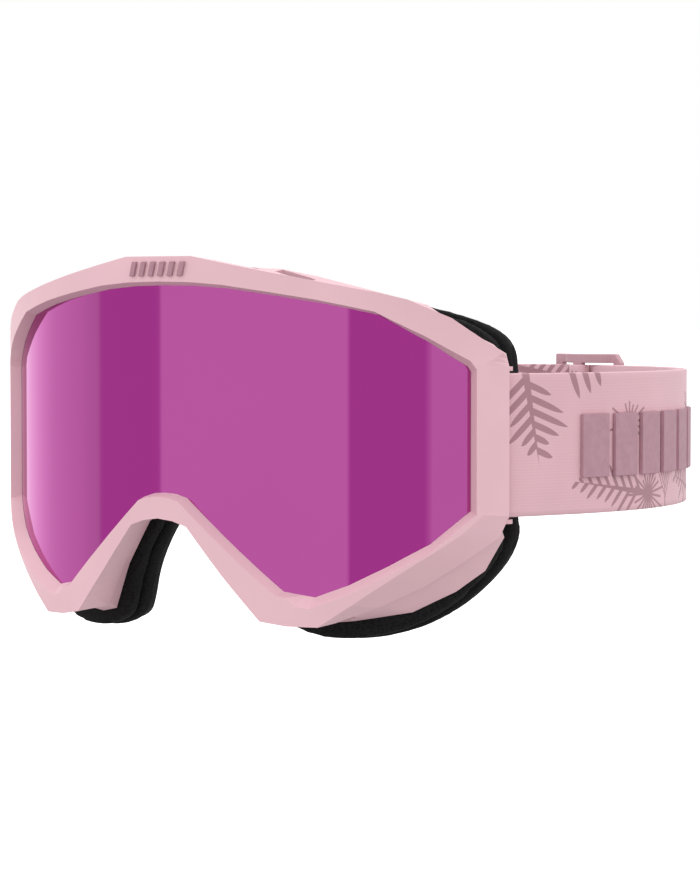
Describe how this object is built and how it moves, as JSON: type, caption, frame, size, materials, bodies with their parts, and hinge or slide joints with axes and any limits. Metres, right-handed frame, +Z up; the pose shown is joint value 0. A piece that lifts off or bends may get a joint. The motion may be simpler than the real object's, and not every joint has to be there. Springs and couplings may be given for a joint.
{
  "type": "ski goggles",
  "caption": "Ski goggles: faceted pink frame, magenta mirrored cylindrical double lens, layered black face foam, printed elastic strap with sliders.",
  "frame": {"origin": "middle of the face side: on the middle plane, on the strap's centre line, where the face foam meets the brow", "axes": "+X towards the wearer's left, +Y towards the back of the head, +Z up"},
  "size_m": [0.2052, 0.2125, 0.1075],
  "materials": {
    "frame_plastic": "matt soft-touch moulding, light pink",
    "mirror_lens": "polished cylinder with a magenta mirror coat",
    "lens_foam": "closed-cell spacer foam, black",
    "clear_lens": "clear inner pane with an anti-fog face",
    "gasket": "matt black rubber",
    "base_foam": "black open-cell foam",
    "middle_foam": "black soft foam",
    "fleece": "brushed black fleece",
    "vent_foam": "thin coarse foam, dark grey",
    "badge": "raised satin mauve",
    "strap_web": "woven elastic, pink with a mauve frond print",
    "emblem_rubber": "raised matt mauve rubber",
    "slider_plastic": "satin mauve moulding"
  },
  "bodies": {
    "frame": {"front_frame": "frame_plastic", "rear_frame": "frame_plastic", "outer_lens": "mirror_lens", "lens_spacer": "lens_foam", "inner_lens": "clear_lens", "lens_gasket": "gasket", "face_foam_base": "base_foam", "face_foam_middle": "middle_foam", "face_fleece": "fleece", "top_vent_foam": "vent_foam", "bottom_vent_foam_left": "vent_foam", "bottom_vent_foam_right": "vent_foam", "brow_badge": "badge", "strap_bar_left": "frame_plastic", "strap_bar_right": "frame_plastic", "strap_end_left": "strap_web", "strap_end_right": "strap_web"},
    "strap": {"strap_band": "strap_web", "strap_return_left": "strap_web", "strap_return_right": "strap_web", "emblem_left": "emblem_rubber", "emblem_right": "emblem_rubber"},
    "slider_left": {"slider_left": "slider_plastic", "slider_loop_left": "strap_web"},
    "slider_right": {"slider_right": "slider_plastic", "slider_loop_right": "strap_web"}
  },
  "joints": [
    {"name": "strap_tilt", "type": "hinge", "parent": "frame", "child": "strap", "pos_m": [0, 0.01648, 0], "axis": [1, 0, 0], "range_deg": [-15, 20], "stiffness_Nm_per_rad": 1},
    {"name": "slider_left_move", "type": "hinge", "parent": "strap", "child": "slider_left", "pos_m": [0, 0.074, 0], "axis": [0, 0, -1], "range_deg": [-8, 28], "deforming": ["strap_return_left"]},
    {"name": "slider_right_move", "type": "hinge", "parent": "strap", "child": "slider_right", "pos_m": [0, 0.074, 0], "axis": [0, 0, 1], "range_deg": [-8, 28], "deforming": ["strap_return_right"]}
  ]
}
